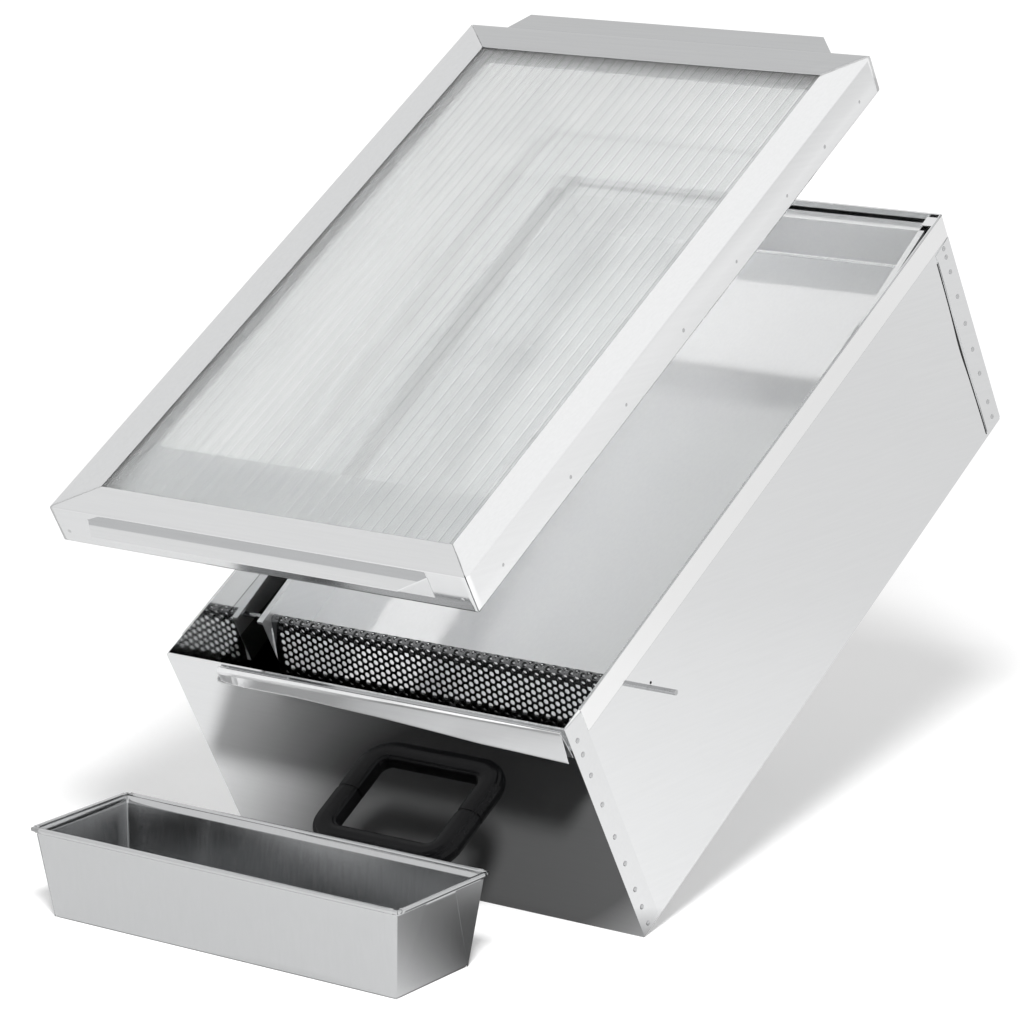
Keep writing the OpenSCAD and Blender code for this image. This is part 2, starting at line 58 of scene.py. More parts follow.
# Camera, solved from the photograph's corners. Its place is in row frame metres.
view = {"place": (2.09506, -3.01918, 1.16977), "yaw": 35.309, "pitch": 13.1563, "roll": 0.1371,
        "lens": 147.68, "sensor": 36.0}


# Turns the camera by yaw about Z, then down by pitch, then by roll about its own axis.
def placeCamera():
    data = bpy.data.cameras.new("viewCamera")
    data.lens, data.sensor_width = view["lens"], view["sensor"]
    data.clip_start, data.clip_end = 0.05, 60
    camera = bpy.data.objects.new("viewCamera", data)
    scene.collection.objects.link(camera)
    turn = (Matrix.Rotation(math.radians(view["yaw"]), 4, "Z")
            @ Matrix.Rotation(math.radians(90 - view["pitch"]), 4, "X")
            @ Matrix.Rotation(math.radians(-view["roll"]), 4, "Z"))
    camera.matrix_world = Matrix.Translation(view["place"]) @ turn
    scene.camera = camera


placeCamera()
print("camera placed")


# Small helpers for node materials.
def newMaterial(name):
    material = bpy.data.materials.new(name)
    material.use_nodes = True
    nodes, links = material.node_tree.nodes, material.node_tree.links
    return material, nodes, links, nodes["Principled BSDF"]


# Object coordinates through a Mapping node, turned and then stretched.
def mapped(nodes, links, scale, turn=(0, 0, 0)):
    coords = nodes.new("ShaderNodeTexCoord")
    mapping = nodes.new("ShaderNodeMapping")
    mapping.inputs["Rotation"].default_value = turn
    mapping.inputs["Scale"].default_value = scale
    links.new(coords.outputs["Object"], mapping.inputs["Vector"])
    return mapping.outputs["Vector"]


def noise(nodes, links, vector, scale, detail=3.0, rough=0.5):
    node = nodes.new("ShaderNodeTexNoise")
    node.inputs["Scale"].default_value = scale
    node.inputs["Detail"].default_value = detail
    node.inputs["Roughness"].default_value = rough
    links.new(vector, node.inputs["Vector"])
    return node.outputs["Fac"]


def ranged(nodes, links, value, low, high, fromLow=0.3, fromHigh=0.7):
    node = nodes.new("ShaderNodeMapRange")
    for socket, number in (("From Min", fromLow), ("From Max", fromHigh),
                           ("To Min", low), ("To Max", high)):
        node.inputs[socket].default_value = number
    links.new(value, node.inputs["Value"])
    return node.outputs["Result"]


def ramp(nodes, links, value, stops):
    node = nodes.new("ShaderNodeValToRGB")
    elements = node.color_ramp.elements
    while len(elements) < len(stops):
        elements.new(0.5)
    for element, (place, tone) in zip(elements, stops):
        element.position = place
        element.color = (tone[0], tone[1], tone[2], 1)
    links.new(value, node.inputs["Fac"])
    return node.outputs["Color"]


def bumped(nodes, links, height, distance, strength=1.0, under=None):
    node = nodes.new("ShaderNodeBump")
    node.inputs["Strength"].default_value = strength
    node.inputs["Distance"].default_value = distance
    links.new(height, node.inputs["Height"])
    if under is not None:
        links.new(under, node.inputs["Normal"])
    return node.outputs["Normal"]


# Rolled steel: two tones and two roughnesses mixed along the rolling grain, over broad low waves of
# the sheet itself.
def steelSheet(name, tone, rough, grain=(60, 2, 60), wave=0.0004, waveScale=4.0, spread=0.012,
               turn=None, roughSpread=0.015, metal=1.0):
    material, nodes, links, shader = newMaterial(name)
    turn = (-casing["tilt"], 0, 0) if turn is None else turn
    streak = noise(nodes, links, mapped(nodes, links, grain, turn), 6.0, 4.0, 0.6)
    cloud = noise(nodes, links, mapped(nodes, links, (1, 1, 1), turn), waveScale, 2.0)
    low, high = [c * (1 - spread) for c in tone], [min(1, c * (1 + spread)) for c in tone]
    links.new(ramp(nodes, links, streak, [(0.35, low), (0.65, high)]), shader.inputs["Base Color"])
    links.new(ranged(nodes, links, streak, max(0.01, rough - roughSpread), rough + roughSpread),
              shader.inputs["Roughness"])
    shader.inputs["Metallic"].default_value = metal
    links.new(bumped(nodes, links, cloud, wave), shader.inputs["Normal"])
    return material


# Painted light on the wrap: its inner faces and the crease under its hem are darkened with painted
# shade, and the hem is lightened with a painted highlight. All are picked out by the height above
# the bottom panel, and the inner faces also by the distance from the middle. The pairs are middle
# and half height in metres.
wrapPaintedLight = {"across": 0.2106, "inner": (0.0952, 0.0948), "hem": (0.2325, 0.0125),
             "crease": (0.2193, 0.0007), "innerShadeTone": 0.10, "hemHighlightTone": 0.90, "creaseShadeTone": 0.35}


def casingSheet(name, tone):
    material = steelSheet(name, tone, 0.07, wave=0.0012)
    nodes, links = material.node_tree.nodes, material.node_tree.links
    shader, coords = nodes["Principled BSDF"], nodes.new("ShaderNodeTexCoord")
    old = shader.inputs["Base Color"].links[0].from_socket

    def distance(axis):
        dot = nodes.new("ShaderNodeVectorMath")
        dot.operation = "DOT_PRODUCT"
        dot.inputs[1].default_value = axis
        links.new(coords.outputs["Object"], dot.inputs[0])
        return dot.outputs["Value"]

    def band(value, middle, half):
        compare = nodes.new("ShaderNodeMath")
        compare.operation = "COMPARE"
        compare.inputs[1].default_value, compare.inputs[2].default_value = middle, half
        links.new(value, compare.inputs[0])
        return compare.outputs["Value"]

    def layer(key):
        middle, half = wrapPaintedLight[key]
        return band(up, middle - casing["shiftY"] * sinTilt / 1000, half)

    def toned(mask, below, share, tone):
        mix = nodes.new("ShaderNodeMix")
        mix.data_type, mix.blend_type = "RGBA", "MIX"
        scaled = nodes.new("ShaderNodeMath")
        scaled.operation = "MULTIPLY"
        scaled.inputs[1].default_value = share
        links.new(mask, scaled.inputs[0])
        links.new(scaled.outputs["Value"], mix.inputs["Factor"])
        links.new(below, mix.inputs["A"])
        mix.inputs["B"].default_value = (tone, tone, tone, 1)
        return mix.outputs["Result"]

    across, up = distance((1, 0, 0)), distance((0, -sinTilt, cosTilt))
    inside = nodes.new("ShaderNodeMath")
    inside.operation = "MULTIPLY"
    links.new(band(across, casing["shiftX"] / 1000, wrapPaintedLight["across"]), inside.inputs[0])
    links.new(layer("inner"), inside.inputs[1])
    # Painted highlight on the hem, painted shade in the crease under it and on the inner faces.
    hem = toned(layer("hem"), old, 0.8, wrapPaintedLight["hemHighlightTone"])
    crease = toned(layer("crease"), hem, 0.8, wrapPaintedLight["creaseShadeTone"])
    links.new(toned(inside.outputs["Value"], crease, 0.85, wrapPaintedLight["innerShadeTone"]),
              shader.inputs["Base Color"])
    return material


casingSteel = casingSheet("casingSteel", (0.75, 0.755, 0.76))
plainSteel = steelSheet("plainSteel", (0.75, 0.755, 0.76), 0.08, wave=0.0008)
edgeSteel = steelSheet("edgeSteel", (0.52, 0.525, 0.53), 0.16, wave=0)
gapShade = steelSheet("gapShade", (0.03, 0.03, 0.03), 0.5, wave=0)
frontSteel = steelSheet("frontSteel", (0.72, 0.725, 0.73), 0.045, grain=(2, 60, 60), wave=0.0010)
lipSteel = steelSheet("lipSteel", (0.88, 0.885, 0.89), 0.14, grain=(2, 60, 60), wave=0.0010,
                      metal=0.6)
# The four lid members are one steel in four tones: painted light and shade for how each member's
# face catches the light.
lidFrontSteel = steelSheet("lidFrontSteel", (0.68, 0.685, 0.69), 0.12, grain=(2, 60, 60))
lidRearSteel = steelSheet("lidRearSteel", (0.50, 0.505, 0.51), 0.12, grain=(2, 60, 60))
lidLeftSteel = steelSheet("lidLeftSteel", (0.66, 0.665, 0.67), 0.12)
lidRightSteel = steelSheet("lidRightSteel", (0.86, 0.865, 0.87), 0.12)
panSteel = steelSheet("panSteel", (0.88, 0.885, 0.89), 0.09, wave=0.0004, metal=0.6)
foldSteel = steelSheet("foldSteel", (0.92, 0.92, 0.925), 0.20, grain=(2, 60, 60), wave=0)
railSteel = steelSheet("railSteel", (0.90, 0.905, 0.91), 0.16, metal=0.5)
traySteel = steelSheet("traySteel", (0.52, 0.525, 0.53), 0.17, grain=(60, 60, 3), wave=0.0040,
                       turn=(0, 0, 0), spread=0.012, roughSpread=0.02)
# The strainer's dark tone is painted shade, for the dark interior that it lies in and reflects.
meshSteel = steelSheet("meshSteel", (0.22, 0.223, 0.226), 0.18, wave=0.0003)
rivetSteel = steelSheet("rivetSteel", (0.50, 0.505, 0.51), 0.24, grain=(200, 200, 200), wave=0)
rodSteel = steelSheet("rodSteel", (0.45, 0.455, 0.46), 0.22, grain=(3, 300, 300), wave=0)
zincSteel = steelSheet("zincSteel", (0.60, 0.605, 0.61), 0.32, grain=(80, 80, 80), wave=0,
                       spread=0.05)


# Moulded plastic or rubber: fine leathery grain over broad soft variation of the sheen.
def mouldedPlastic(name, tone, rough):
    material, nodes, links, shader = newMaterial(name)
    place = mapped(nodes, links, (1, 1, 1))
    broad, fine = noise(nodes, links, place, 18.0), noise(nodes, links, place, 1400.0, 2.0)
    links.new(ramp(nodes, links, broad, [(0.3, tone), (0.7, [c * 1.5 for c in tone])]),
              shader.inputs["Base Color"])
    links.new(ranged(nodes, links, broad, rough - 0.06, rough + 0.08), shader.inputs["Roughness"])
    links.new(bumped(nodes, links, fine, 0.00002, 0.4), shader.inputs["Normal"])
    shader.inputs["Specular IOR Level"].default_value = 0.12
    return material


handlePlastic = mouldedPlastic("handlePlastic", (0.003, 0.003, 0.0033), 0.20)
footRubber = mouldedPlastic("footRubber", (0.020, 0.020, 0.020), 0.72)


# Clear twin-wall board: see-through, with a faint haze that changes along the ribs.
def clearBoard(name):
    material, nodes, links, shader = newMaterial(name)
    place = mapped(nodes, links, (30, 1, 1), (-casing["tilt"], 0, 0))
    haze = noise(nodes, links, place, 8.0)
    links.new(ramp(nodes, links, haze, [(0.3, (0.90, 0.91, 0.91)), (0.7, (0.95, 0.955, 0.955))]),
              shader.inputs["Base Color"])
    links.new(ranged(nodes, links, haze, 0.02, 0.05), shader.inputs["Roughness"])
    shader.inputs["Transmission Weight"].default_value = 0.92
    shader.inputs["Alpha"].default_value = 0.80
    shader.inputs["IOR"].default_value = 1.16
    return material


paneBoard = clearBoard("paneBoard")

finishes = {
    "casing_wrap": casingSteel, "front_panel": frontSteel, "rear_panel": plainSteel,
    "front_lip": lipSteel, "corner_rivets": rivetSteel, "handle": handlePlastic,
    "handle_screws": zincSteel, "pan": panSteel, "pan_support": railSteel,
    "strainer_plate": meshSteel, "strainer_hook": meshSteel, "strainer_rod": rodSteel,
    "lid_front": lidFrontSteel, "lid_rear": lidRearSteel, "lid_left": lidLeftSteel,
    "lid_right": lidRightSteel, "pane": paneBoard, "rail_front": railSteel,
    "rail_rear": railSteel, "rail_left": railSteel, "rail_right": railSteel,
    "lid_front_lip": lidFrontSteel, "lid_rear_lip": lidRearSteel, "lid_rivets": rivetSteel,
    "tray_body": traySteel, "tray_rim": traySteel, "tray_flaps": traySteel,
    "stand_bracket": zincSteel, "stand_loop": zincSteel, "stand_foot": footRubber,
    "stand_rivets": rivetSteel}


def dress(thing, material):
    thing.data.materials.clear()
    thing.data.materials.append(material)


for nodeName, material in finishes.items():
    dress(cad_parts[nodeName], material)
print("finishes on the packed nodes")


# Formed pieces. Each is a grid or lofted profile in casing, lid or tray millimetres.
def addPiece(name, points, faces, body, material, replaced=(), sheet=0.0, smooth=True):
    mesh = bpy.data.meshes.new(name)
    mesh.from_pydata(np.asarray(points).reshape(-1, 3).tolist(), [], faces)
    build = bmesh.new()
    build.from_mesh(mesh)
    bmesh.ops.remove_doubles(build, verts=build.verts, dist=0.00002)
    if sheet == 0.0:
        bmesh.ops.recalc_face_normals(build, faces=build.faces)
    build.to_mesh(mesh)
    build.free()
    if smooth:
        mesh.shade_smooth()
    else:
        mesh.shade_flat()
    piece = bpy.data.objects.new(name, mesh)
    scene.collection.objects.link(piece)
    if sheet:
        wall = piece.modifiers.new("sheet", "SOLIDIFY")
        wall.thickness, wall.offset = sheet, -1
    dress(piece, material)
    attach(piece, body)
    if replaced:
        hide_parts(*replaced)
    return piece


# Quads of a grid with rows x columns points, with its second direction closed if asked.
def gridFaces(rows, columns, closed=False, first=0):
    i, j = np.meshgrid(np.arange(rows - 1), np.arange(columns if closed else columns - 1),
                       indexing="ij")
    k = (j + 1) % columns
    quads = np.stack([i * columns + j, (i + 1) * columns + j, (i + 1) * columns + k,
                      i * columns + k], -1).reshape(-1, 4) + first
    return quads.tolist()


# Closed loft: rings of equal count, joined and capped at both ends.
def loftFaces(rows, columns, first=0):
    return (gridFaces(rows, columns, True, first) + [list(range(first, first + columns))]
            + [list(range(first + (rows - 1) * columns, first + rows * columns))])


# Lid millimetres start at the middle of the lid's top, which hangs here in the casing's frame.
lidPlace = (-30.0, 337.0, 425.0)


def lidToRow(x, y, z):
    return toRow(np.asarray(x) + lidPlace[0], np.asarray(y) + lidPlace[1],
                 np.asarray(z) + lidPlace[2])


# Perforated strainer: one sheet of hexagonal cells round staggered holes. The cell's twelve corners
# lie on a hexagon, the hole's on a circle, both at 30 degree steps. The sheet (x, s) runs straight
# down for s > 0, wraps the hook's half circle for s < 0, and ends in a straight leg.
strainer = {"pitch": 7.0, "hole": 2.45, "half": 191.8, "bottom": 95.0, "leg": 12.5, "radius": 3.8,
            "sheet": 0.8, "lean": math.radians(16.5), "place": (114.0, 187.8),
            "firstRow": 5.45, "sideRim": 3.0, "topRim": 0.6, "bottomRim": 0.8}


def makeStrainer():
    pitch, column = strainer["pitch"], strainer["pitch"] * math.sqrt(3) / 2
    middle = strainer["radius"] - strainer["sheet"] / 2
    top = -(math.pi * middle + strainer["leg"])
    reach = int((strainer["half"] - strainer["sideRim"] - strainer["hole"]) / column)
    angles = np.radians(np.arange(0, 360, 30))
    apothem = pitch / 2
    # A hexagon with corners at 0, 60, ... degrees: radius apothem/cos(30) there, apothem between.
    radius = np.where(np.arange(12) % 2 == 0, apothem / math.cos(math.pi / 6), apothem)
    corner = np.stack([radius * np.cos(angles), radius * np.sin(angles)], -1)
    circle = strainer["hole"] * np.stack([np.cos(angles), np.sin(angles)], -1)
    points, faces, count = [], [], 0
    ring = [[k, (k + 1) % 12, (k + 1) % 12 + 12, k + 12] for k in range(12)]
    for i in range(-reach, reach + 1):
        first = strainer["firstRow"] + (i % 2) * pitch / 2
        first -= math.floor((first - top - strainer["hole"] - strainer["topRim"]) / pitch) * pitch
        places = np.arange(first, strainer["bottom"] - strainer["hole"] - strainer["bottomRim"],
                           pitch)
        for n, s in enumerate(places):
            cell = corner + (i * column, s)
            if abs(i) == reach:
                side = (np.abs(corner[:, 0]) > pitch * 0.2) & (np.sign(corner[:, 0]) == np.sign(i))
                cell[side, 0] = math.copysign(strainer["half"], i)
            if n == 0:
                cell[corner[:, 1] < -apothem * 0.9, 1] = top
            if n == len(places) - 1:
                cell[corner[:, 1] > apothem * 0.9, 1] = strainer["bottom"]
            points.append(np.concatenate([cell, circle + (i * column, s)]))
            faces += [[a + count for a in quad] for quad in ring]
            count += 24
    flat = np.concatenate(points)
    x, s = flat[:, 0], flat[:, 1]
    turn = np.clip(-s / middle, 0, math.pi)
    down = np.where(s > 0, s, np.where(s > -math.pi * middle, -strainer["radius"] * np.sin(turn),
                                       -s - math.pi * middle))
    front = strainer["radius"] * np.cos(turn)
    lean, (rodY, hookZ) = strainer["lean"], strainer["place"]
    points = toRow(x, rodY - front * math.cos(lean) - down * math.sin(lean),
                   hookZ + front * math.sin(lean) - down * math.cos(lean))
    # The first cell looks forwards, towards -Y.
    a, b, c = (points[faces[0][k]] for k in (0, 1, 2))
    if np.cross(b - a, c - a)[1] > 0:
        faces = [quad[::-1] for quad in faces]
    addPiece("strainerSheet", points, faces, "strainer", meshSteel,
             ("strainer_plate", "strainer_hook"), sheet=strainer["sheet"] / 1000, smooth=False)


makeStrainer()
print("strainer")

# Lip along the front panel's top edge: at each x a section of an upper roll, a narrow band behind
# it, a bright facet that widens to the right and leans outwards, and a turned edge.
frontLip = {"x0": -155.0, "x1": 206.0, "root": 241.0, "reach": 4.0,
            "station": (0.0, 0.04, 0.22, 0.45, 0.75, 1.0), "roll": (3.9, 3.0, 2.6, 2.4, 1.6, 1.0),
            "waist": (2.8, 1.0, 0.9, 0.8, 0.6, 0.5), "foot": (3.6, 3.2, 2.6, 3.0, 3.9, 3.9),
            "band": (4.0, 6.0, 5.5, 4.5, 3.5, 3.0), "facet": (6.0, 7.5, 9.0, 14.0, 23.0, 27.0),
            "edge": (1.0, 1.0, 1.2, 1.5, 1.5, 1.5)}


def makeFrontLip():
    t = np.linspace(0, 1, 61)

    def at(key):
        return np.interp(t, frontLip["station"], frontLip[key])

    roll, waist = at("roll") + 0.10 * np.sin(19 * t) * (t > 0.02), at("waist")
    foot = np.minimum(at("foot") + 0.25 * np.sin(7 * t), frontLip["reach"])
    z = frontLip["root"] - 0.8 * roll
    band, facet = z - at("band"), z - at("band") - at("facet")
    edge = facet - at("edge")
    x = frontLip["x0"] + (frontLip["x1"] - frontLip["x0"]) * t
    outer = [(-0.8 + 0 * t, frontLip["root"] + 0 * t), (-roll, z), (-waist, band), (-foot, facet),
             (-foot + 0.3, edge)]
    inner = [(p + 0.45, q + (0.4 if n == 4 else -0.1)) for n, (p, q) in enumerate(outer)][::-1]
    section = outer + inner
    points = np.stack([toRow(x, np.minimum(p, -0.05), q) for p, q in section], 1)
    addPiece("frontLipStrip", points, loftFaces(61, len(section)), "casing", lipSteel,
             ("front_lip",), smooth=False)


makeFrontLip()
print("front lip")

# Moulded handle: a ridged section swept along a D of two arms, two quarter bends and a grip.
handle = {"x0": -74.5, "x1": 78.0, "z": 109.0, "out": 65.0, "wide": 23.5, "thick": 18.0,
          "bend": 20.0}


def makeHandle():
    wide, thick, bend = handle["wide"], handle["thick"], handle["bend"]
    left, right = handle["x0"] + wide / 2, handle["x1"] - wide / 2
    grip = -handle["out"] + wide / 2
    a = np.linspace(0, math.pi / 2, 13)
    pathX = np.concatenate([[left] * 4, left + bend - bend * np.cos(a),
                            right - bend + bend * np.sin(a), [right] * 4])
    pathY = np.concatenate([[-0.05, -1.2, -1.6, -6], grip + bend - bend * np.sin(a),
                            grip + bend - bend * np.cos(a), [-6, -1.6, -1.2, -0.05]])
    aimX = np.concatenate([[0] * 4, np.sin(a), np.cos(a), [0] * 4])
    aimY = np.concatenate([[-1] * 4, -np.cos(a), np.sin(a), [1] * 4])
    swell = np.concatenate([[0.94, 0.94, 1, 1], np.ones(26), [1, 1, 0.94, 0.94]])
    # Section (across, up): bevelled box with a rounded rib along its outer upper edge.
    section = np.array([(-0.5, -0.26), (-0.36, -0.44), (-0.1, -0.5), (0.2, -0.48), (0.42, -0.36),
                        (0.5, -0.12), (0.5, 0.16), (0.44, 0.34), (0.33, 0.36), (0.29, 0.46),
                        (0.12, 0.5), (-0.16, 0.5), (-0.34, 0.46), (-0.38, 0.38), (-0.46, 0.34),
                        (-0.5, 0.14)]) * (wide, thick)
    across = section[:, 0] * swell[:, None]
    # Across points out of the bow: to the left of the left arm and to the right of the right arm.
    x = pathX[:, None] + across * aimY[:, None]
    y = pathY[:, None] - across * aimX[:, None]
    z = handle["z"] + section[:, 1] * swell[:, None]
    addPiece("handleGrip", toRow(x, y, z), loftFaces(*x.shape), "casing",
             handlePlastic, ("handle",), smooth=False)


makeHandle()
print("handle")

# Lid frame: each member is one folded sheet. Along it runs t from -1 to 1, and its section gives an
# inset from the outer edge and a height: hem, skirt, fold of radius 1.6 and flange. An end lies at
# the half length less the inset, so that the flanges meet on the mitre with a thin open seam.
lidFrame = {"halfX": 218.5, "halfY": 355.5, "rim": 33.0, "skirt": 36.5, "fold": 1.6, "seam": 0.25,
            "sheet": 0.8}


def lidMember(name, node, side, material, sway):
    fold = lidFrame["fold"]
    a = np.linspace(0, math.pi / 2, 7)
    inset = np.concatenate([[0.9, 0.15, 0.0, 0.0], fold - fold * np.cos(a),
                            np.linspace(5, lidFrame["rim"] - 0.6, 8), [lidFrame["rim"]]])
    skirt = lidFrame["skirt"]
    height = np.concatenate([[0.3 - skirt, -skirt, 0.9 - skirt, -20.0], -fold + fold * np.sin(a),
                             np.zeros(8), [-0.5]])
    halfLong = lidFrame["halfX"] if side in ("front", "rear") else lidFrame["halfY"]
    halfWide = lidFrame["halfY"] if side in ("front", "rear") else lidFrame["halfX"]
    t = np.linspace(-1, 1, 121)[:, None]
    along = t * (halfLong - inset - lidFrame["seam"])
    # The flange sags by a few tenths between its corners, and a dent presses in near one end.
    sag = -sway[0] * (1 - t ** 2) * (inset / lidFrame["rim"]) ** 2
    dent = -sway[1] * np.exp(-((t - sway[2]) / 0.035) ** 2 - ((inset - 20) / 9) ** 2)
    bulge = 0.16 * np.sin(9 * t + sway[2] * 5) * np.clip(-height / 20, 0, 1)
    z = height + (sag + dent) * (inset > 2)
    across = inset - halfWide + np.clip(bulge, 0, 0.3)
    if side == "front":
        x, y = along, across
    elif side == "rear":
        x, y = -along, -across
    elif side == "right":
        x, y = -across, along
    else:
        x, y = across, -along
    x, y, z = np.broadcast_arrays(x, y, z)
    faces = [quad[::-1] for quad in gridFaces(*x.shape)]
    addPiece(name, lidToRow(x, y, z), faces, "lid", material, (node,),
             sheet=lidFrame["sheet"] / 1000)


lidMember("lidFrontSheet", "lid_front", "front", lidFrontSteel, (0.5, 0.9, 0.93))
lidMember("lidRearSheet", "lid_rear", "rear", lidRearSteel, (0.4, 0.3, -0.9))
lidMember("lidLeftSheet", "lid_left", "left", lidLeftSteel, (0.5, 0.4, 0.8))
lidMember("lidRightSheet", "lid_right", "right", lidRightSteel, (0.5, 0.8, -0.96))
print("lid frame")


# Dome heads: a quarter sine profile turned about each rivet's axis, over a thin washer edge.
# A corner row has its y and its heights as shares of the casing's, and the lid's side row has its
# places as shares of the half length.
rivets = {"radius": 2.4, "high": 1.0, "edge": 0.25,
          "corner": ((9.88, (0.033, 0.114, 0.2, 0.327, 0.457, 0.612, 0.751, 0.849, 0.914)),
                     (688.04, (0.053, 0.127, 0.269, 0.388, 0.514, 0.645, 0.763, 0.833, 0.873))),
          "side": (-0.875, -0.565, -0.301, -0.02, 0.248, 0.512, 0.714, 0.903),
          "endX": 207.5, "lidZ": -25.2}


def domes(name, centres, axes, toFrame, body, replaced):
    a = np.linspace(0, 2 * math.pi, 12, endpoint=False)
    b = np.linspace(0, math.pi / 2, 5)[:-1]
    ring = rivets["radius"] * np.cos(b)
    high = rivets["edge"] + (rivets["high"] - rivets["edge"]) * np.sin(b)
    ring, high = np.concatenate([[rivets["radius"]], ring]), np.concatenate([[0.0], high])
    points, faces, count = [], [], 0
    for centre, axis in zip(centres, axes):
        axis = np.array(axis, float)
        u = np.cross(axis, (0, 0, 1) if abs(axis[2]) < 0.9 else (1, 0, 0))
        v = np.cross(axis, u)
        disc = (ring[:, None, None] * (np.cos(a)[None, :, None] * u + np.sin(a)[None, :, None] * v)
                + high[:, None, None] * axis + np.array(centre))
        points.append(disc.reshape(-1, 3))
        faces += loftFaces(5, 12, count)
        count += 60
    points = np.concatenate(points)
    addPiece(name, toFrame(points[:, 0], points[:, 1], points[:, 2]), faces, body,
             rivetSteel, replaced)


skin = casing["halfWidth"] + casing["sheet"]
corner = [(s * skin, y, z * casing["height"]) for s in (-1, 1)
          for y, heights in rivets["corner"] for z in heights]
domes("cornerDomes", corner, [(math.copysign(1, c[0]), 0, 0) for c in corner], toRow, "casing",
      ("corner_rivets",))
edge = [(s * lidFrame["halfX"], k * lidFrame["halfY"], rivets["lidZ"]) for s in (-1, 1)
        for k in rivets["side"]]
ends = [(s * rivets["endX"], k * lidFrame["halfY"], rivets["lidZ"]) for s in (-1, 1)
        for k in (-1, 1)]
domes("lidDomes", edge + ends, [(math.copysign(1, c[0]), 0, 0) for c in edge]
      + [(0, math.copysign(1, c[1]), 0) for c in ends], lidToRow, "lid", ("lid_rivets",))
print("rivets")

# Rolled edge along the top of each side panel: a flattened round of radius 0.95 over the hem.
sideEdge = {"x": 211.5, "front": 26.0, "back": 699.0, "z": 244.45, "wide": 0.95, "high": 0.7,
            "sway": 0.05}


def makeSideEdges():
    a = np.radians(np.arange(0, 360, 30))
    y = np.linspace(sideEdge["front"], sideEdge["back"], 60)[:, None]
    points, faces = [], []
    for n, side in enumerate((-1, 1)):
        x = side * sideEdge["x"] + sideEdge["wide"] * np.cos(a)
        z = sideEdge["z"] + sideEdge["high"] * np.sin(a) + sideEdge["sway"] * np.sin(y / 41.0 + n)
        points.append(toRow(x, y, z).reshape(-1, 3))
        faces += loftFaces(60, 12, n * 720)
    addPiece("sideEdges", np.concatenate(points), faces, "casing", edgeSteel)


makeSideEdges()

# Painted shade beside the rear flange's free edge: a dark strip standing in for the shade in the
# open gap there,
# 0.7 wide, 2.2 where the sheet bows most, and slightly curved as the photograph shows it.
flangeGapShade = {"edge": 673.0, "low": 4.0, "high": 208.0, "thin": 0.7, "bow": 1.5, "at": 0.52,
             "spread": 0.13, "out": 211.25, "curve": 1.6}


def paintFlangeGapShade():
    k = np.linspace(0, 1, 41)[:, None]
    wide = flangeGapShade["thin"] + flangeGapShade["bow"] * np.exp(-((k - flangeGapShade["at"])
                                                          / flangeGapShade["spread"]) ** 2)
    # The section is a thin strip: its rear edge lies under the flange, its front edge varies.
    y = (flangeGapShade["edge"] - flangeGapShade["curve"] * np.sin(math.pi * k) ** 2
         + np.array([0.2, 0.2, -1.0, -1.0]) * np.where([1, 1, 0, 0], 1.0, wide))
    z = flangeGapShade["low"] + (flangeGapShade["high"] - flangeGapShade["low"]) * k
    points, faces = [], []
    for n, side in enumerate((-1, 1)):
        x = side * (flangeGapShade["out"] + np.array([0.0, 0.12, 0.12, 0.0]))
        points.append(toRow(x, y, z).reshape(-1, 3))
        faces += loftFaces(41, 4, n * 164)
    # A dark strip of painted shade, not an opening.
    addPiece("flangeGapShadeStrips", np.concatenate(points), faces, "casing", gapShade,
             smooth=False)


paintFlangeGapShade()


# Corner patches: the hems' tongues, folded over the open corners beside the pan's rear flange.
cornerPatch = {"inner": 199.2, "outer": 210.4, "front": 682.0, "back": 694.5,
               "heights": (243.7, 244.4)}


def makeCornerPatches():
    inner, outer, front, back = (cornerPatch[k] for k in ("inner", "outer", "front", "back"))
    across, along = np.array([inner, outer, outer, inner]), np.array([front, front, back, back])
    points = [toRow(side * across, along, z) for side in (-1, 1) for z in cornerPatch["heights"]]
    addPiece("cornerPatches", np.concatenate(points), loftFaces(2, 4) + loftFaces(2, 4, 8),
             "casing", plainSteel, smooth=False)


makeCornerPatches()


# Painted shade for a small round hole in the right side panel, beside the rod: a dark disc on the
# panel.
sideHoleShade = {"y": 117.7, "z": 190.5, "radius": 1.3, "faces": (211.1, 211.25)}


def paintSideHoleShade():
    a, radius = np.radians(np.arange(0, 360, 30)), sideHoleShade["radius"]
    points = [toRow(x, sideHoleShade["y"] + radius * np.cos(a), sideHoleShade["z"] + radius * np.sin(a))
              for x in sideHoleShade["faces"]]
    # A dark disc of painted shade, not an opening.
    addPiece("sideHoleShade", np.concatenate(points), loftFaces(2, 12), "casing", gapShade,
             smooth=False)


paintSideHoleShade()
print("edges")

# Bend between the pan's floor and rear wall: a hollow quarter round, straight across the pan.
panFold = {"half": 192.9, "back": 683.4, "front": 100.0, "floor": 143.3, "rise": math.radians(4.6),
           "radius": 2.4}


def makePanFold():
    a = np.radians(np.linspace(0, 90, 7))
    radius = panFold["radius"]
    y = panFold["back"] - radius
    z = panFold["floor"] + (y - panFold["front"]) * math.tan(panFold["rise"]) + radius
    acrossY = np.concatenate([y + radius * np.sin(a), [panFold["back"] + 0.3]])
    acrossZ = np.concatenate([z - radius * np.cos(a), [z - radius - 0.3]])
    points = [toRow(x, acrossY, acrossZ) for x in (-panFold["half"], panFold["half"])]
    addPiece("panFold", np.concatenate(points), loftFaces(2, len(acrossY)), "casing",
             foldSteel, smooth=False)


makePanFold()
print("pan fold")

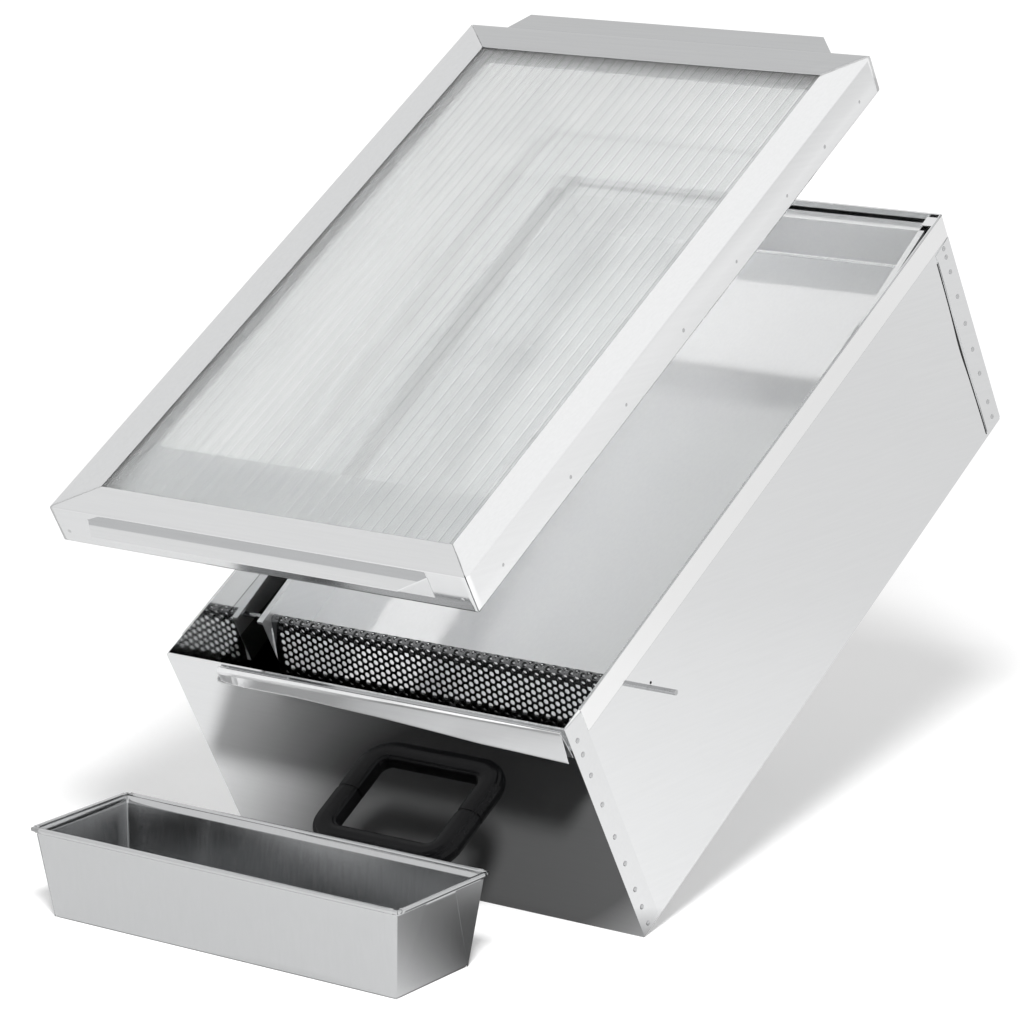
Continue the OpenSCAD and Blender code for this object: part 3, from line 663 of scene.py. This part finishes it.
# Tray: one folded sheet, walls lofted from the bottom to the rim, with folds of radius 2, a faint
# bow of each wall and the spare corner sheet as flaps on both ends.
tray = {"x": -48.25, "y": -369.396, "baseX": 184.5, "baseY": 49.5, "topX": 194.0, "topY": 60.25,
        "high": 80.5, "sheet": 0.8, "fold": 2.0, "wire": 2.5, "roll": 2.45, "bare": 1.8,
        "short": 4.5}


def trayToRow(x, y, z):
    return np.stack(np.broadcast_arrays(x + tray["x"], y + tray["y"], z), -1) / 1000


def makeTray():
    k = np.concatenate([[0, 0.008, 0.03], np.linspace(0.1, 1, 12)])[:, None]
    fold = tray["fold"]
    tuck = fold * np.clip(1 - k / 0.03, 0, 1) ** 2
    halfX = tray["baseX"] + (tray["topX"] - tray["baseX"]) * k - tuck
    halfY = tray["baseY"] + (tray["topY"] - tray["baseY"]) * k - tuck
    side = np.linspace(-1, 1, 33)[1:-1]
    a = np.radians([0, 22.5, 45, 67.5, 90])
    # Ring: front wall, right corner, right end, and so on. Each wall bows inwards by a few tenths.
    parts = []
    for turn in range(4):
        half, other = (halfX, halfY) if turn % 2 == 0 else (halfY, halfX)
        bow = 0.5 * (1 - side ** 2) * np.sin(math.pi * k)
        wall = np.stack([side * (half - fold), -(other - bow) + 0 * side], -1)
        arc = np.stack([half - fold + fold * np.sin(a), -other + fold - fold * np.cos(a)], -1)
        both = np.concatenate([wall, arc], 1)
        c, s = math.cos(turn * math.pi / 2), math.sin(turn * math.pi / 2)
        parts.append(np.stack([both[..., 0] * c - both[..., 1] * s,
                               both[..., 0] * s + both[..., 1] * c], -1))
    ring = np.concatenate(parts, 1)
    z = np.broadcast_to(tray["high"] * k, ring.shape[:2])
    count = ring.shape[1]
    points = trayToRow(ring[..., 0], ring[..., 1], z)
    faces = gridFaces(len(k), count, True) + [list(range(count))[::-1]]
    shell = addPiece("trayShell", points, faces, "tray", traySteel, ("tray_body",),
                     sheet=tray["sheet"] / 1000)
    # The bottom is the last face, and flat.
    shell.data.polygons[-1].use_smooth = False


# Rim: a rolled edge of radius 2.45 on each side, over a wire of radius 1.8. The rolls stop short of
# the corners, where the bare wire shows.
def makeTrayRim():
    a = np.radians(np.arange(0, 360, 22.5))
    points, faces, count = [], [], 0
    for turn in range(4):
        half = (tray["topX"], tray["topY"])[turn % 2] + tray["wire"]
        other = (tray["topX"], tray["topY"])[(turn + 1) % 2] + tray["wire"]
        c, s = math.cos(turn * math.pi / 2), math.sin(turn * math.pi / 2)
        for radius, stop, sway in ((tray["roll"], half - tray["short"], 0.108),
                                   (tray["bare"], half, 0.0)):
            t = np.linspace(-1, 1, 41)[:, None] * stop
            v = -other + radius * np.cos(a) + sway * np.sin(t / 23.0 + turn)
            w = tray["high"] + radius * np.sin(a)
            t, v, w = np.broadcast_arrays(t, v, w)
            points.append(trayToRow(t * c - v * s, t * s + v * c, w).reshape(-1, 3))
            faces += loftFaces(41, 16, count)
            count += 41 * 16
    addPiece("trayRoll", np.concatenate(points), faces, "tray", traySteel,
             ("tray_rim",))


makeTray()
makeTrayRim()
print("tray")

# Floor, world and lamp. The floor glows a little, so that it is white for the camera and in the
# steel, and still takes the object's shadow. For glossy rays a painted shade darkens it in front of
# the casing.
studio = {"floorTone": 0.80, "glowSeen": (0.24, 0.62), "glowGloss": (0.02, 0.30), "glowReach": 3.4,
          "paintedShadeTone": 0.12, "paintedShadePlace": (0.03, -0.24, 0.0), "paintedShadeReach": (0.33, 0.19, 1.0),
          "worldDiffuse": 0.55, "worldSeen": 1.0,
          "keyPlace": (1.62, -2.40, 3.2), "keySize": 0.75, "keyPower": 185}


# One in the middle of an ellipsoid, and nothing from its border on.
def ellipsoid(nodes, links, place, reach):
    coords, mapping = nodes.new("ShaderNodeTexCoord"), nodes.new("ShaderNodeMapping")
    mapping.vector_type = "TEXTURE"
    mapping.inputs["Location"].default_value = place
    mapping.inputs["Scale"].default_value = reach
    links.new(coords.outputs["Object"], mapping.inputs["Vector"])
    ball = nodes.new("ShaderNodeTexGradient")
    ball.gradient_type = "SPHERICAL"
    links.new(mapping.outputs["Vector"], ball.inputs["Vector"])
    return ball.outputs["Fac"]


def layFloor():
    mesh = bpy.data.meshes.new("floor")
    reach = 14.0
    mesh.from_pydata([(-reach, -reach, 0), (reach, -reach, 0), (reach, reach, 0),
                      (-reach, reach, 0)], [], [(0, 1, 2, 3)])
    floor = bpy.data.objects.new("floor", mesh)
    scene.collection.objects.link(floor)
    material, nodes, links, shader = newMaterial("floorPaper")
    tone = studio["floorTone"]
    links.new(ramp(nodes, links, noise(nodes, links, mapped(nodes, links, (1, 1, 1)), 3.0),
                   [(0.3, (tone * 0.99,) * 3), (0.7, (tone,) * 3)]), shader.inputs["Base Color"])
    shader.inputs["Roughness"].default_value = 0.9
    shader.inputs["Specular IOR Level"].default_value = 0.05
    path = nodes.new("ShaderNodeLightPath")

    # The glow rises with the distance from the object, so that the far floor is as white.
    near = ellipsoid(nodes, links, (0.1, 0.1, 0.0), (studio["glowReach"],) * 3)
    seen, gloss = (ranged(nodes, links, near, studio[key][1], studio[key][0], 0.0, 0.7)
                   for key in ("glowSeen", "glowGloss"))
    glow = nodes.new("ShaderNodeMix")
    glow.data_type = "FLOAT"
    links.new(path.outputs["Is Glossy Ray"], glow.inputs["Factor"])
    links.new(seen, glow.inputs["A"])
    links.new(gloss, glow.inputs["B"])
    shader.inputs["Emission Color"].default_value = (1, 1, 1, 1)
    links.new(glow.outputs["Result"], shader.inputs["Emission Strength"])
    share = nodes.new("ShaderNodeMath")
    share.operation = "MULTIPLY"
    links.new(path.outputs["Is Glossy Ray"], share.inputs[0])
    # Painted shade: a dark diffuse floor, seen only by glossy rays, inside an ellipse in front of
    # the casing.
    shadeMask = ellipsoid(nodes, links, studio["paintedShadePlace"], studio["paintedShadeReach"])
    links.new(ranged(nodes, links, shadeMask, 0.0, 1.0, 0.0, 0.5), share.inputs[1])
    shadeShader, mixed = nodes.new("ShaderNodeBsdfDiffuse"), nodes.new("ShaderNodeMixShader")
    shadeShader.inputs["Color"].default_value = (studio["paintedShadeTone"],) * 3 + (1,)
    links.new(share.outputs[0], mixed.inputs["Fac"])
    links.new(shader.outputs["BSDF"], mixed.inputs[1])
    links.new(shadeShader.outputs["BSDF"], mixed.inputs[2])
    links.new(mixed.outputs["Shader"], nodes["Material Output"].inputs["Surface"])
    dress(floor, material)


# White for the camera, for gloss and through the pane, and a little lower as soft light.
def lightWorld():
    world = bpy.data.worlds.new("studioWorld")
    world.use_nodes = True
    scene.world = world
    nodes, links = world.node_tree.nodes, world.node_tree.links
    path = nodes.new("ShaderNodeLightPath")
    seen = nodes.new("ShaderNodeMath")
    seen.operation = "MAXIMUM"
    links.new(path.outputs["Is Camera Ray"], seen.inputs[0])
    links.new(path.outputs["Is Glossy Ray"], seen.inputs[1])
    through = nodes.new("ShaderNodeMath")
    through.operation = "MAXIMUM"
    links.new(seen.outputs[0], through.inputs[0])
    links.new(path.outputs["Is Transmission Ray"], through.inputs[1])
    strength = nodes.new("ShaderNodeMapRange")
    strength.inputs["To Min"].default_value = studio["worldDiffuse"]
    strength.inputs["To Max"].default_value = studio["worldSeen"]
    links.new(through.outputs[0], strength.inputs["Value"])
    background = nodes["Background"]
    background.inputs["Color"].default_value = (1, 1, 1, 1)
    links.new(strength.outputs["Result"], background.inputs["Strength"])


def hangLamp(name, place, aim, size, power):
    data = bpy.data.lights.new(name, "AREA")
    data.shape, data.size, data.energy = "SQUARE", size, power
    lamp = bpy.data.objects.new(name, data)
    scene.collection.objects.link(lamp)
    lamp.location = place
    lamp.rotation_euler = (Vector(aim) - Vector(place)).to_track_quat("-Z", "Y").to_euler()
    return lamp


layFloor()
lightWorld()
keyLamp = hangLamp("keyLamp", studio["keyPlace"], (0, 0, 0.2), studio["keySize"],
                   studio["keyPower"])

# The steel doesn't mirror the lamp, which would leave bright specks. The lamp also passes the pan
# by, because the lid would throw a shadow there that the photograph lacks.
keyLamp.visible_glossy = False
skipped = bpy.data.collections.new("lampSkips")
skipped.objects.link(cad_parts["pan"])
keyLamp.light_linking.receiver_collection = skipped
skipped.collection_objects[0].light_linking.link_state = "EXCLUDE"
print("floor, world and lamps")
